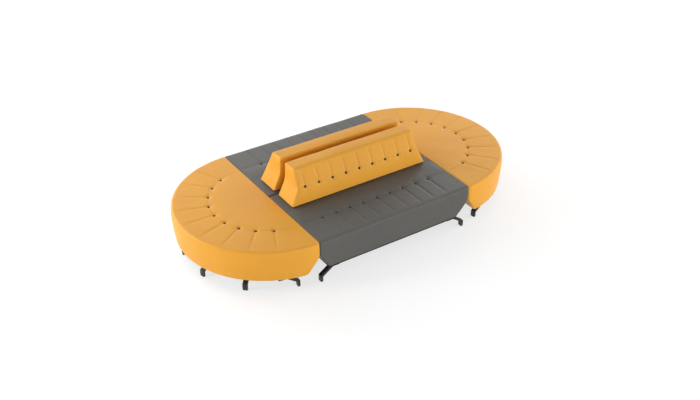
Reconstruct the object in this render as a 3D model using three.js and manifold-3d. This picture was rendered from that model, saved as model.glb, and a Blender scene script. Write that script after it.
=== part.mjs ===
// Oval island sofa for a waiting area: two benches stand back to back, each with a backrest, and two
// half-round seats close the ends. Quilted covers with sewn channels and tufted buttons go over the
// seats and backrests, and short bent-tube feet carry each module.
// Millimetres, +Z up. The origin is on the floor under the middle of the sofa. X runs along the
// benches, and the front bench faces -Y. The rear bench and the left end are the same modules turned
// half round.

import * as THREE from "three";
import { mergeVertices } from "three/addons/utils/BufferGeometryUtils.js";
import Module from "manifold-3d";

const wasm = await Module();
wasm.setup();

// The whole sofa
const endRadius = 800; // of the half-round ends, which is also the reach of the benches from the middle
const benchLength = 1475;
const seatHeight = 400; // floor to the rim of the seats
const benchBackGap = 10; // between the backs of the two benches
const pressGap = 0.4; // between covers that stand against each other
const seatGap = 0.3; // between a piece and what it is seated on
const weld = 0.001; // corners closer than this are one corner
const overrun = 5; // how far a cutting tool runs past the face that it cuts

// Upholstered seat bodies
const bodyDepth = 276; // rim to underside
const bandHeight = 131; // the plumb upper band, down to the bend
const flatTaper = 92; // how far a bench end, or the flat side of an end seat, runs in below the bend
const outerTaper = 22; // how far the front of a bench runs in below the bend
const endOuterTaper = 14; // the same for the round side of an end seat
const rimRadius = 18;
const bandBelly = 3; // how far the foam swells halfway down the band
const bandBellyShare = 0.55; // of the band's height, where it swells most

// Quilting of the seats
const seamSetback = 300; // outer edge of a seat to its long seam
const seamDepth = 3;
const channelDepth = 5;
const shoulderWidth = 12; // stitch line to the foam's shoulder
const tuftDepth = 12;
const tuftReach = 24; // how far from a button the cover is drawn down
const panelPuff = 4;
const fieldCrown = 6;
const channelFadePower = 6; // a channel runs out into the rim by this power of its length
const nearRimShare = 0.86; // of the quilted band, where the channels start to run out
const rimTurnShares = [0.5, 1]; // of the quarter turn over the rim, one ring of the skin each

// Buttons
const buttonCount = 9; // on each seat and each backrest
const benchPitch = 132;
const endStep = THREE.MathUtils.degToRad(16.3); // between buttons round an end seat
const buttonRadius = 11;
const buttonDome = 5; // height of a button over its tuft
const buttonCrownShare = 0.62; // of the radius, where the dome turns flat
const buttonSides = 10;
const buttonRoot = 6; // how far its shank is sunk in the foam

// Backrests, with heights above the rim of the seat
const backrestTop = 296;
const backrestSeam = 151;
const backrestRearReach = 37; // middle of the sofa to a backrest's rear face
const backrestLowReach = 268; // middle of the sofa to the front face at its foot
const backrestSeamReach = 250; // the same at the seam
const backrestTopReach = 168; // the same at the top edge
const backrestLowLength = 1344;
const backrestSeamLength = 1204;
const backrestTopLength = 1190;
const backrestRim = 18;
const backrestLowRimShare = 0.35; // of the rim, because the foot edge is pulled tight
const backrestPuff = 3;
const backrestTuftDepth = 9;

// Backrest fixings
const backrestBaseThickness = 6;
const backrestBaseInset = 12;
const stemWidth = 50;
const stemThickness = 8;
const stemSpacing = 800; // between the two stems of a backrest
const stemInBackrest = 170;
const stemInSeat = 150;
const stemSetback = 80; // middle of the sofa to the middle of a stem
const stemCornerRadius = 12;

// Base boards and the plates that link them
const boardThickness = 10;
const boardInset = 3;
const endBoardInset = 22; // so that the round side hides the board
const boardCornerRadius = 10;
const linkLength = 170;
const linkWidth = 50;
const linkThickness = 4;
const linkSpacing = 760; // between the two link plates
const linkHoleSetback = 22; // end of a link plate to its hole
const screwHoleRadius = 3.2;
const screwHoleSides = 12;
const plateCornerRadius = 6;

// Feet of bent rectangular tube
const tubeWidth = 40;
const tubeThickness = 20;
const tubeWall = 2.5;
const kneeShare = 0.44; // of the foot's height, where the tube bends
const footRun = 86; // how far the sloping part runs out
const footPlateLength = 104;
const footPlateThickness = 5;
const footPlateMargin = 1; // board's edge to a foot that stands at it
const footPlateHoleSetback = 14; // inner end of the plate to its first screw
const footPlateHoleSpacing = 36;
const glideFlange = 4;
const glidePlugShare = 0.36; // of the height of the knee
const glideClearance = 0.3;
const glideRadius = 3;

// Places of the feet, inside the edges of the base boards
const benchFootBackSetback = 57; // back of the board to the middle of a foot's width
const endFootSetback = 18; // round edge to the middle of a foot on the floor
const endFootTurns = [14, 45].map(THREE.MathUtils.degToRad); // to either side of the end's middle
const sideFootFlatSetback = 38; // flat edge to the middle of the foot beside the bench
const sideFootOuterSetback = 58; // the round edge's reach to the same foot
const sideFootSplay = THREE.MathUtils.degToRad(174); // the way it splays, towards the bench

// Sizes that follow
const bodyBottom = seatHeight - bodyDepth;
const boardTop = bodyBottom - seatGap;
const boardBottom = boardTop - boardThickness;
const footTop = boardBottom - seatGap;
const kneeHeight = footTop * kneeShare;
const footRise = footTop - footPlateThickness - kneeHeight;
const slopeLength = Math.hypot(footRun, footRise);
const slopeReach = (tubeThickness / 2) * (slopeLength / footRise); // half the tube's cut under its plate
const glidePlug = kneeHeight * glidePlugShare;
const halfBench = benchLength / 2;
const benchBoardEnd = halfBench - pressGap / 2 - flatTaper - boardInset;
const benchBoardBack = -benchBackGap / 2 - boardInset;
const benchBoardReach = endRadius - outerTaper - boardInset;
const endBoardFlat = flatTaper + pressGap / 2 + endBoardInset;
const endBoardReach = endRadius - endOuterTaper - endBoardInset;
const seamRadius = endRadius - seamSetback;
const quiltBand = seamSetback - rimRadius;
const backrestBottom = backrestBaseThickness + 2 * seatGap;

const orangeCover = new THREE.MeshStandardMaterial({ color: 0xe8a246, roughness: 0.55, metalness: 0 });
const greyCover = new THREE.MeshStandardMaterial({ color: 0x595856, roughness: 0.55, metalness: 0 });
const blackBoard = new THREE.MeshStandardMaterial({ color: 0x1a1a1a, roughness: 0.7, metalness: 0 });
const blackSteel = new THREE.MeshStandardMaterial({ color: 0x202020, roughness: 0.45, metalness: 0.4 });
const blackPlastic = new THREE.MeshStandardMaterial({ color: 0x121212, roughness: 0.6, metalness: 0 });

// A skin of triangles that is built ring by ring, and shares every corner.
class Skin {
  constructor() {
    this.points = [];
    this.faces = [];
    this.known = new Map();
  }

  corner(point) {
    const key = point.toArray().map((value) => Math.round(value / weld)).join(" ");
    if (!this.known.has(key)) this.known.set(key, this.points.push(point) - 1);
    return this.known.get(key);
  }

  ring(points) {
    return points.map((point) => this.corner(point));
  }

  face(a, b, c) {
    if (a !== b && b !== c && c !== a) this.faces.push(a, b, c);
  }

  // A net of corners, in rows, that faces the way that row x column does.
  net(rows) {
    for (let j = 0; j + 1 < rows.length; j += 1) {
      for (let i = 0; i + 1 < rows[j].length; i += 1) {
        this.face(rows[j][i], rows[j][i + 1], rows[j + 1][i + 1]);
        this.face(rows[j][i], rows[j + 1][i + 1], rows[j + 1][i]);
      }
    }
  }

  // The wall between two rings with as many corners, the second one further from the face.
  wall(near, far) {
    near.forEach((a, i) => {
      const next = (i + 1) % near.length;
      this.face(a, far[i], far[next]);
      this.face(a, far[next], near[next]);
    });
  }

  // The wall from a fine ring to a coarse one, whose corners stand under the fine ring's kept ones.
  thinningWall(near, far, kept) {
    kept.forEach((start, k) => {
      const steps = (kept[(k + 1) % kept.length] - start + near.length) % near.length;
      const half = Math.ceil(steps / 2);
      const under = [far[k], far[(k + 1) % far.length]];
      for (let s = 0; s < steps; s += 1) {
        const a = near[(start + s) % near.length];
        const b = near[(start + s + 1) % near.length];
        this.face(a, under[s < half ? 0 : 1], b);
      }
      this.face(near[(start + half) % near.length], under[0], under[1]);
    });
  }

  // The flat lid on the side away from the face.
  lid(ring, flatten) {
    const contour = ring.map((index) => flatten(this.points[index]));
    THREE.ShapeUtils.triangulateShape(contour, []).forEach(([a, b, c]) => {
      this.face(ring[a], ring[c], ring[b]);
    });
  }

  solid() {
    const vertProperties = new Float32Array(this.points.flatMap((point) => point.toArray()));
    return new wasm.Manifold(
      new wasm.Mesh({ numProp: 3, vertProperties, triVerts: new Uint32Array(this.faces) }),
    );
  }
}

// A closed three.js geometry as a solid that can be cut and joined.
function solidOf(geometry) {
  const bare = geometry.index ? geometry.toNonIndexed() : geometry.clone();
  bare.deleteAttribute("normal");
  bare.deleteAttribute("uv");
  const merged = mergeVertices(bare, weld);
  const skin = new Skin();
  const place = merged.getAttribute("position");
  const corners = Array.from({ length: place.count }, (_, i) => {
    return skin.corner(new THREE.Vector3().fromBufferAttribute(place, i));
  });
  for (let i = 0; i < merged.index.count; i += 3) {
    const [a, b, c] = [0, 1, 2].map((step) => corners[merged.index.getX(i + step)]);
    skin.face(a, b, c);
  }
  return skin.solid();
}

function meshOf(name, solid, material) {
  const { vertProperties, triVerts } = solid.getMesh();
  const geometry = new THREE.BufferGeometry();
  geometry.setAttribute("position", new THREE.BufferAttribute(vertProperties, 3));
  geometry.setIndex(new THREE.BufferAttribute(triVerts, 1));
  geometry.computeVertexNormals();
  const mesh = new THREE.Mesh(geometry, material);
  mesh.name = name;
  return mesh;
}

// A flat outline with its holes, as a slab that stands on z = low.
function slab(outline, holes, low, thickness) {
  outline.holes = holes;
  const geometry = new THREE.ExtrudeGeometry(outline, { depth: thickness, bevelEnabled: false });
  return solidOf(geometry.translate(0, 0, low));
}

function screwHole(x, y) {
  const path = new THREE.Path();
  for (let i = 0; i < screwHoleSides; i += 1) {
    const turn = (-2 * Math.PI * i) / screwHoleSides;
    const [px, py] = [x + screwHoleRadius * Math.cos(turn), y + screwHoleRadius * Math.sin(turn)];
    if (i === 0) path.moveTo(px, py);
    else path.lineTo(px, py);
  }
  path.closePath();
  return path;
}

// A rectangle with chamfered corners, from its low corner to its high one.
function trimmedRectangle(low, high, trim) {
  return new THREE.Shape([
    new THREE.Vector2(low.x + trim, low.y),
    new THREE.Vector2(high.x - trim, low.y),
    new THREE.Vector2(high.x, low.y + trim),
    new THREE.Vector2(high.x, high.y - trim),
    new THREE.Vector2(high.x - trim, high.y),
    new THREE.Vector2(low.x + trim, high.y),
    new THREE.Vector2(low.x, high.y - trim),
    new THREE.Vector2(low.x, low.y + trim),
  ]);
}

const clamp = THREE.MathUtils.clamp;
const bell = (share) => Math.exp(-2 * share * share);
const arch = (share) => 4 * share * (1 - share);

function buttonPlaces(pitch) {
  return Array.from({ length: buttonCount }, (_, k) => pitch * (k - (buttonCount - 1) / 2));
}

// Stations along a seam, from -end to end: every button, the shoulders of its channel, and the crest
// of every panel.
function quiltStations(pitch, shoulder, end) {
  const buttons = buttonPlaces(pitch);
  const first = (buttons[0] - end) / 2;
  const list = [{ at: -end }, { at: first }];
  buttons.forEach((at) => {
    list.push({ at: at - shoulder, shoulder: true }, { at });
    list.push({ at: at + shoulder, shoulder: true }, { at: at + pitch / 2 });
  });
  list.pop();
  list.push({ at: -first }, { at: end });
  return list;
}

function nearestButton(at, pitch) {
  const last = (buttonCount - 1) / 2;
  return at - pitch * clamp(Math.round(at / pitch), -last, last);
}

// How high the quilted cover stands over its rim. Along is measured from the nearest channel, and
// across from the seam, outwards, where the band of channels is.
function relief(along, across, sizes) {
  const tuft = sizes.tuft * bell(Math.hypot(along, across) / tuftReach);
  const seam = seamDepth * bell(across / shoulderWidth);
  if (across < 0) {
    const crown = sizes.crown * arch(clamp(-across / sizes.field, 0, 1));
    return crown - Math.max(tuft, seam);
  }
  const outward = clamp(across / sizes.band, 0, 1);
  const channel = channelDepth * bell(along / shoulderWidth) * (1 - outward ** channelFadePower);
  const panel = Math.min(Math.abs(along) / sizes.pitch, 1 / 2);
  return sizes.puff * arch(outward) * arch(panel) - Math.max(tuft, seam, channel);
}

// The rings of a rim that rolls over a quarter turn: how far each lies outside the face and below it.
function rimTurn(share, radius) {
  const turn = (share * Math.PI) / 2;
  return { inset: radius * (1 - Math.sin(turn)), drop: radius * (1 - Math.cos(turn)) };
}

// The nodes round a net, and whether one lies inside them.
function edgeOf(rows) {
  const last = rows.length - 1;
  const end = rows[0].length - 1;
  return [
    ...rows[0],
    ...rows.slice(1, last).map((row) => row[end]),
    ...[...rows[last]].reverse(),
    ...rows.slice(1, last).map((row) => row[0]).reverse(),
  ];
}

function isInside(rows, j, i) {
  return j > 0 && j < rows.length - 1 && i > 0 && i < rows[j].length - 1;
}

function button(tangentHeight) {
  const height = buttonDome + buttonRoot;
  const dome = new THREE.CylinderGeometry(
    buttonRadius * buttonCrownShare,
    buttonRadius,
    height,
    buttonSides,
  );
  return dome.rotateX(Math.PI / 2).translate(0, 0, tangentHeight + buttonDome - height / 2);
}

// An upholstered seat body from its quilted top, given as a net of nodes on the full outline, and a
// function that draws the outline in. The plain sides run down from the nodes that are kept, and the
// outer one runs in by the taper.
function seatBody(rows, drawIn, taper) {
  const rimStart = { outer: rimRadius, flat: rimRadius, back: rimRadius };
  const skin = new Skin();
  const place = (node, inset, z) => new THREE.Vector3(...drawIn(node, inset), z);
  const top = rows.map((row, j) => {
    return skin.ring(
      row.map((node, i) => {
        const height = isInside(rows, j, i) ? node.relief : 0;
        return place(node, rimStart, seatHeight + height);
      }),
    );
  });
  skin.net(top);
  const edge = edgeOf(rows);
  const rim = skin.ring(edge.map((node) => place(node, rimStart, seatHeight)));
  const kept = edge.flatMap((node, i) => (node.kept ? [i] : []));
  const levels = rimTurnShares.map((share) => {
    const { inset, drop } = rimTurn(share, rimRadius);
    return [{ outer: inset, flat: inset, back: inset }, seatHeight - drop];
  });
  levels.push(
    [{ outer: -bandBelly, flat: 0, back: 0 }, seatHeight - bandHeight * bandBellyShare],
    [{ outer: 0, flat: 0, back: 0 }, seatHeight - bandHeight],
    [{ outer: taper, flat: flatTaper, back: 0 }, bodyBottom],
  );
  const rings = levels.map(([inset, z]) => skin.ring(kept.map((i) => place(edge[i], inset, z))));
  skin.thinningWall(rim, rings[0], kept);
  rings.slice(1).forEach((ring, k) => skin.wall(rings[k], ring));
  skin.lid(rings[rings.length - 1], (point) => new THREE.Vector2(point.x, point.y));
  return skin.solid();
}

// The net of a bench top: columns along X, rows from the outer edge back to the middle of the sofa.
function benchNet() {
  const sizes = {
    tuft: tuftDepth,
    crown: fieldCrown,
    puff: panelPuff,
    pitch: benchPitch,
    band: quiltBand,
    field: seamRadius - backrestLowReach - backrestBaseInset,
  };
  const acrossList = [
    seamSetback,
    quiltBand * nearRimShare,
    quiltBand / 2,
    shoulderWidth,
    0,
    -shoulderWidth,
    -sizes.field / 2,
    -sizes.field,
    benchBackGap / 2 - seamRadius,
  ];
  const columns = quiltStations(benchPitch, shoulderWidth, halfBench);
  return acrossList.map((across, j) => {
    return columns.map(({ at, shoulder }, i) => {
      const along = nearestButton(at, benchPitch);
      const outer = j === 0;
      const atEnd = i === 0 || i === columns.length - 1;
      return {
        x: at,
        y: -seamRadius - across,
        outer,
        kept: outer ? !shoulder : atEnd && j === acrossList.length - 1,
        relief: relief(along, across, sizes),
      };
    });
  });
}

function drawInBench(node, inset) {
  const x = halfBench - pressGap / 2 - inset.flat;
  const front = -endRadius + inset.outer;
  const y = node.outer ? front : Math.max(node.y, front);
  return [clamp(node.x, -x, x), Math.min(y, -benchBackGap / 2 - inset.back)];
}

function benchSeatSolid() {
  let body = seatBody(benchNet(), drawInBench, outerTaper);
  const pocket = { width: stemWidth, thickness: stemThickness, low: -stemInSeat, high: overrun };
  stemPlaces().forEach((x) => {
    body = body.subtract(stemPocket(x, pocket));
  });
  buttonPlaces(benchPitch).forEach((at) => {
    body = body.add(solidOf(button(seatHeight - tuftDepth).translate(at, -seamRadius, 0)));
  });
  return body;
}

// The net of an end seat: rays round the half circle, rows from the flat side out to the rim.
function endNet() {
  const sizes = {
    tuft: tuftDepth,
    crown: fieldCrown,
    puff: panelPuff,
    band: quiltBand,
    field: seamRadius,
  };
  const inner = seamRadius - shoulderWidth;
  const shoulderTurn = shoulderWidth / seamRadius;
  const rays = quiltStations(endStep, shoulderTurn, Math.PI / 2).reverse();
  const acrossList = [0, shoulderWidth, quiltBand / 2, quiltBand * nearRimShare, seamSetback];
  const fieldShares = [0, 1 / 2];
  const fieldRows = fieldShares.map((share) => {
    return rays.map(({ at }) => {
      const [x, y] = [share * inner * Math.cos(at), inner * Math.sin(at)];
      return { x, y, relief: fieldCrown * arch(share) * Math.cos(at) };
    });
  });
  const shoulderRow = rays.map(({ at }) => {
    const along = nearestButton(at, endStep) * inner;
    const height = relief(along, -shoulderWidth, { ...sizes, crown: 0 });
    return { x: inner * Math.cos(at), y: inner * Math.sin(at), relief: height };
  });
  const outerRows = acrossList.map((across, j) => {
    const radius = seamRadius + across;
    return rays.map(({ at, shoulder }) => {
      const along = nearestButton(at, endStep) * radius;
      const outer = j === acrossList.length - 1;
      return {
        x: radius * Math.cos(at),
        y: radius * Math.sin(at),
        outer,
        kept: outer && !shoulder,
        relief: relief(along, across, { ...sizes, pitch: endStep * radius }),
      };
    });
  });
  return [...fieldRows, shoulderRow, ...outerRows];
}

function drawInEnd(node, inset) {
  const radius = endRadius - inset.outer;
  const reach = Math.hypot(node.x, node.y);
  const scale = reach > radius || node.outer ? radius / reach : 1;
  const x = Math.max(node.x * scale, inset.flat + pressGap / 2);
  const room = Math.sqrt(Math.max(radius ** 2 - x ** 2, 0));
  return [x, clamp(node.y * scale, -room, room)];
}

function endSeatSolid() {
  let body = seatBody(endNet(), drawInEnd, endOuterTaper);
  buttonPlaces(endStep).forEach((at) => {
    const [x, y] = [seamRadius * Math.cos(at), seamRadius * Math.sin(at)];
    body = body.add(solidOf(button(seatHeight - tuftDepth).translate(x, y, 0)));
  });
  return body;
}

// The front face of a backrest, by its height over the rim of the seat: reach from the middle of the
// sofa, half length, and the way that it faces.
function backrestFace(height) {
  const lower = height <= backrestSeam;
  const share = lower
    ? height / backrestSeam
    : (height - backrestSeam) / (backrestTop - backrestSeam);
  const [reach, nextReach] = lower
    ? [backrestLowReach, backrestSeamReach]
    : [backrestSeamReach, backrestTopReach];
  const [length, nextLength] = lower
    ? [backrestLowLength, backrestSeamLength]
    : [backrestSeamLength, backrestTopLength];
  const rise = lower ? backrestSeam : backrestTop - backrestSeam;
  const facing = new THREE.Vector3(0, -rise, reach - nextReach).normalize();
  return {
    reach: THREE.MathUtils.lerp(reach, nextReach, share),
    half: THREE.MathUtils.lerp(length, nextLength, share) / 2,
    facing,
  };
}

function seamFacing() {
  const under = backrestFace(backrestSeam).facing;
  return under.add(backrestFace(backrestTop).facing).normalize();
}

function backrestNet() {
  const upper = backrestTop - backrestRim - backrestSeam;
  const lower = backrestSeam - backrestBottom;
  const sizes = {
    tuft: backrestTuftDepth,
    crown: backrestPuff,
    puff: backrestPuff,
    pitch: benchPitch,
    band: upper,
    field: lower,
  };
  const heights = [
    backrestBottom,
    backrestSeam - lower / 2,
    backrestSeam - shoulderWidth,
    backrestSeam,
    backrestSeam + shoulderWidth,
    backrestSeam + upper / 2,
    backrestSeam + upper * nearRimShare,
    backrestTop,
  ];
  const end = backrestSeamLength / 2;
  const columns = quiltStations(benchPitch, shoulderWidth, end);
  const corners = [backrestBottom, backrestSeam, backrestTop];
  return heights.map((height) => {
    return columns.map(({ at }, i) => {
      const side = i === 0 ? -1 : Number(i === columns.length - 1);
      const along = nearestButton(at, benchPitch);
      const kept = side !== 0 && corners.includes(height);
      return { x: at, y: height, side, kept, relief: relief(along, height - backrestSeam, sizes) };
    });
  });
}

// A backrest as an upholstered block: the quilted face, its rim, the ends, top and foot, and the
// plain rear face.
function backrestSolid() {
  const rows = backrestNet();
  const skin = new Skin();
  const place = (node, inset, depth) => {
    const low = backrestBottom + inset * backrestLowRimShare;
    const height = clamp(node.y, low, backrestTop - inset);
    const { reach, half } = backrestFace(height);
    const x = node.side ? node.side * (half - inset) : node.x;
    return new THREE.Vector3(x, depth(reach), height);
  };
  const onFace = (reach) => -reach;
  const lifted = (node) => {
    const facing = node.y === backrestSeam ? seamFacing() : backrestFace(node.y).facing;
    return place(node, backrestRim, onFace).addScaledVector(facing, node.relief);
  };
  const face = rows.map((row, j) => {
    return skin.ring(
      row.map((node, i) => (isInside(rows, j, i) ? lifted(node) : place(node, backrestRim, onFace))),
    );
  });
  skin.net(face);
  const edge = edgeOf(rows);
  const rim = skin.ring(edge.map((node) => place(node, backrestRim, onFace)));
  const kept = edge.flatMap((node, i) => (node.kept ? [i] : []));
  const ringAt = (inset, depth) => skin.ring(kept.map((i) => place(edge[i], inset, depth)));
  const turns = rimTurnShares.map((share) => rimTurn(share, backrestRim));
  const forward = turns.map(({ inset, drop }) => ringAt(inset, (reach) => drop - reach));
  const rearTurns = [rimTurn(0, backrestRim), ...turns].reverse();
  const rearward = rearTurns.map(({ inset, drop }) => ringAt(inset, () => -backrestRearReach - drop));
  const rings = [...forward, ...rearward];
  skin.thinningWall(rim, rings[0], kept);
  rings.slice(1).forEach((ring, k) => skin.wall(rings[k], ring));
  skin.lid(rings[rings.length - 1], (point) => new THREE.Vector2(point.x, point.z));
  let body = skin.solid().translate([0, 0, seatHeight]);
  const pocket = {
    width: stemWidth,
    thickness: stemThickness,
    low: 0,
    high: backrestBottom + stemInBackrest,
  };
  stemPlaces().forEach((x) => {
    body = body.subtract(stemPocket(x, pocket));
  });
  const tilt = new THREE.Quaternion().setFromUnitVectors(new THREE.Vector3(0, 0, 1), seamFacing());
  buttonPlaces(benchPitch).forEach((at) => {
    const dome = button(-backrestTuftDepth).applyQuaternion(tilt);
    body = body.add(solidOf(dome.translate(at, -backrestSeamReach, seatHeight + backrestSeam)));
  });
  return body;
}

const stemPlaces = () => [-stemSpacing / 2, stemSpacing / 2];

// The slot that a stem goes into, a seating gap larger than the stem all round.
function stemPocket(x, { width, thickness, low, high }) {
  const slot = new THREE.BoxGeometry(width + 2 * seatGap, thickness + 2 * seatGap, high - low);
  return solidOf(slot.translate(x, -stemSetback, seatHeight + (low + high) / 2));
}

function stemSolid() {
  const low = seatHeight - stemInSeat + seatGap;
  const high = seatHeight + backrestBottom + stemInBackrest - seatGap;
  const half = stemWidth / 2;
  const blade = trimmedRectangle(
    new THREE.Vector2(-half, low),
    new THREE.Vector2(half, high),
    stemCornerRadius,
  );
  const solid = slab(blade, [], -stemThickness / 2, stemThickness);
  return solid.rotate([90, 0, 0]).translate([0, -stemSetback, 0]);
}

function backrestBaseSolid() {
  const half = backrestLowLength / 2 - backrestBaseInset;
  const outline = trimmedRectangle(
    new THREE.Vector2(-half, -backrestLowReach + backrestBaseInset),
    new THREE.Vector2(half, -backrestRearReach - backrestBaseInset),
    boardCornerRadius,
  );
  let board = slab(outline, [], seatHeight + seatGap, backrestBaseThickness);
  const pocket = { width: stemWidth, thickness: stemThickness, low: -overrun, high: overrun * 2 };
  stemPlaces().forEach((x) => {
    board = board.subtract(stemPocket(x, pocket));
  });
  return board;
}

function benchBoardSolid() {
  const outline = trimmedRectangle(
    new THREE.Vector2(-benchBoardEnd, -benchBoardReach),
    new THREE.Vector2(benchBoardEnd, benchBoardBack),
    boardCornerRadius,
  );
  return slab(outline, [], boardBottom, boardThickness);
}

function endBoardSolid() {
  const turn = Math.acos(endBoardFlat / endBoardReach);
  const outline = new THREE.Shape();
  outline.absarc(0, 0, endBoardReach, -turn, turn, false);
  outline.closePath();
  return slab(outline, [], boardBottom, boardThickness);
}

function linkSolid() {
  const half = new THREE.Vector2(linkWidth / 2, linkLength / 2);
  const outline = trimmedRectangle(half.clone().negate(), half, plateCornerRadius);
  const y = half.y - linkHoleSetback;
  const holes = [screwHole(0, -y), screwHole(0, y)];
  return slab(outline, holes, boardBottom - seatGap - linkThickness, linkThickness);
}

// The side view of a bent bar: plumb from low up to the knee, then sloping inwards up to the plate.
function bentBar(half, low) {
  const knee = (half * (slopeLength - footRise)) / footRun;
  const wide = (half * slopeLength) / footRise;
  const high = kneeHeight + footRise;
  return new THREE.Shape([
    new THREE.Vector2(half, low),
    new THREE.Vector2(half, kneeHeight + knee),
    new THREE.Vector2(wide - footRun, high),
    new THREE.Vector2(-wide - footRun, high),
    new THREE.Vector2(-half, kneeHeight - knee),
    new THREE.Vector2(-half, low),
  ]);
}

// The bar as a solid that stands in its own frame: +X is the way that the foot splays.
function bar(half, width, low) {
  return slab(bentBar(half, low), [], -width / 2, width).rotate([90, 0, 0]);
}

function footSolid() {
  const tube = bar(tubeThickness / 2, tubeWidth, glideFlange + seatGap);
  const bore = bar(tubeThickness / 2 - tubeWall, tubeWidth - 2 * tubeWall, glideFlange - overrun);
  const outer = slopeReach - footRun;
  const inner = outer - footPlateLength;
  const outline = trimmedRectangle(
    new THREE.Vector2(inner, -tubeWidth / 2),
    new THREE.Vector2(outer, tubeWidth / 2),
    plateCornerRadius,
  );
  const holePlaces = [footPlateHoleSetback, footPlateHoleSetback + footPlateHoleSpacing];
  const holes = holePlaces.map((setback) => screwHole(inner + setback, 0));
  const plate = slab(outline, holes, footTop - footPlateThickness, footPlateThickness);
  return tube.subtract(bore).add(plate);
}

function glideSolid() {
  const flange = new THREE.Vector2(tubeThickness / 2, tubeWidth / 2);
  const wall = tubeWall + glideClearance;
  const plug = flange.clone().subScalar(wall);
  const cap = trimmedRectangle(flange.clone().negate(), flange, glideRadius);
  const stub = trimmedRectangle(plug.clone().negate(), plug, glideClearance);
  const shoe = slab(cap, [], 0, glideFlange);
  return shoe.add(slab(stub, [], glideFlange / 2, glideFlange / 2 + glidePlug));
}

// Feet of a module: where each stands on the floor and the way that it splays.
function benchFeet() {
  const x = benchBoardEnd - footPlateMargin - slopeReach + footRun;
  const ys = [
    footPlateMargin + tubeWidth / 2 - benchBoardReach,
    benchBoardBack - benchFootBackSetback,
  ];
  return ys.flatMap((y) => [
    { x: -x, y, turn: Math.PI },
    { x, y, turn: 0 },
  ]);
}

function endFeet() {
  const radius = endBoardReach - endFootSetback;
  const round = endFootTurns.flatMap((turn) => [-turn, turn]);
  const splayed = round.map((turn) => {
    return { x: radius * Math.cos(turn), y: radius * Math.sin(turn), turn };
  });
  const x = endBoardFlat + sideFootFlatSetback;
  const y = endBoardReach - sideFootOuterSetback;
  const beside = [-1, 1].map((side) => ({ x, y: side * y, turn: side * sideFootSplay }));
  return [...splayed, ...beside];
}

function addFeet(group, prefix, places) {
  const foot = footSolid();
  const glide = glideSolid();
  places.forEach(({ x, y, turn }, i) => {
    const stand = new THREE.Group();
    stand.position.set(x, y, 0);
    stand.rotation.z = turn;
    stand.add(meshOf(`${prefix}_foot_${i + 1}`, foot, blackSteel));
    stand.add(meshOf(`${prefix}_glide_${i + 1}`, glide, blackPlastic));
    group.add(stand);
  });
}

function bench(prefix) {
  const group = new THREE.Group();
  group.add(meshOf(`${prefix}_bench_seat`, benchSeatSolid(), greyCover));
  group.add(meshOf(`${prefix}_bench_base_board`, benchBoardSolid(), blackBoard));
  group.add(meshOf(`${prefix}_backrest`, backrestSolid(), orangeCover));
  group.add(meshOf(`${prefix}_backrest_base`, backrestBaseSolid(), blackBoard));
  const stem = stemSolid();
  stemPlaces().forEach((x, i) => {
    const mesh = meshOf(`${prefix}_backrest_stem_${i + 1}`, stem, blackSteel);
    mesh.position.x = x;
    group.add(mesh);
  });
  addFeet(group, `${prefix}_bench`, benchFeet());
  return group;
}

function endSeat(prefix) {
  const group = new THREE.Group();
  group.add(meshOf(`${prefix}_end_seat`, endSeatSolid(), orangeCover));
  group.add(meshOf(`${prefix}_end_base_board`, endBoardSolid(), blackBoard));
  addFeet(group, `${prefix}_end`, endFeet());
  return group;
}

function islandSofa() {
  const sofa = new THREE.Group();
  const front = bench("front");
  const rear = bench("rear");
  rear.rotation.z = Math.PI;
  const right = endSeat("right");
  right.position.x = halfBench;
  const left = endSeat("left");
  left.position.x = -halfBench;
  left.rotation.z = Math.PI;
  sofa.add(front, rear, right, left);
  const link = linkSolid();
  [-linkSpacing / 2, linkSpacing / 2].forEach((x, i) => {
    const mesh = meshOf(`link_plate_${i + 1}`, link, blackSteel);
    mesh.position.x = x;
    sofa.add(mesh);
  });
  return sofa;
}

export default islandSofa();
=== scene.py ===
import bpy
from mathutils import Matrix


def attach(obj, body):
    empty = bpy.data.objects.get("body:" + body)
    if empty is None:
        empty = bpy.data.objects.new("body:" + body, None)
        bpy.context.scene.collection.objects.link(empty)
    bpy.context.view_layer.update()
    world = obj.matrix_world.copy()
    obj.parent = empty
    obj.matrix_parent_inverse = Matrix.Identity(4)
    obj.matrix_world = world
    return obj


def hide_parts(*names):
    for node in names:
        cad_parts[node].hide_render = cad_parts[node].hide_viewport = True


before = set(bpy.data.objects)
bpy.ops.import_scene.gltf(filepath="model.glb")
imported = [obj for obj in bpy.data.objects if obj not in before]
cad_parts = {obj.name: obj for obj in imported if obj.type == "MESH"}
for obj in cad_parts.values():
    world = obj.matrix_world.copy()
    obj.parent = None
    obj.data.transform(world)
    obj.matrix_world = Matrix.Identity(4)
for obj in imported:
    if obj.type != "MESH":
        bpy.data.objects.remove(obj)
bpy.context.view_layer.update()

import math

import bmesh
import bpy
import numpy as np
from mathutils import Matrix, Vector
from mathutils.bvhtree import BVHTree

# The whole sofa, with the sizes of the part. All lengths are in metres.
END_RADIUS = 0.8
HALF_BENCH = 0.7375
SEAT_HEIGHT = 0.4
BACK_GAP = 0.01  # between the two benches
PRESS_GAP = 0.0004  # between a bench and an end seat

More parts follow.
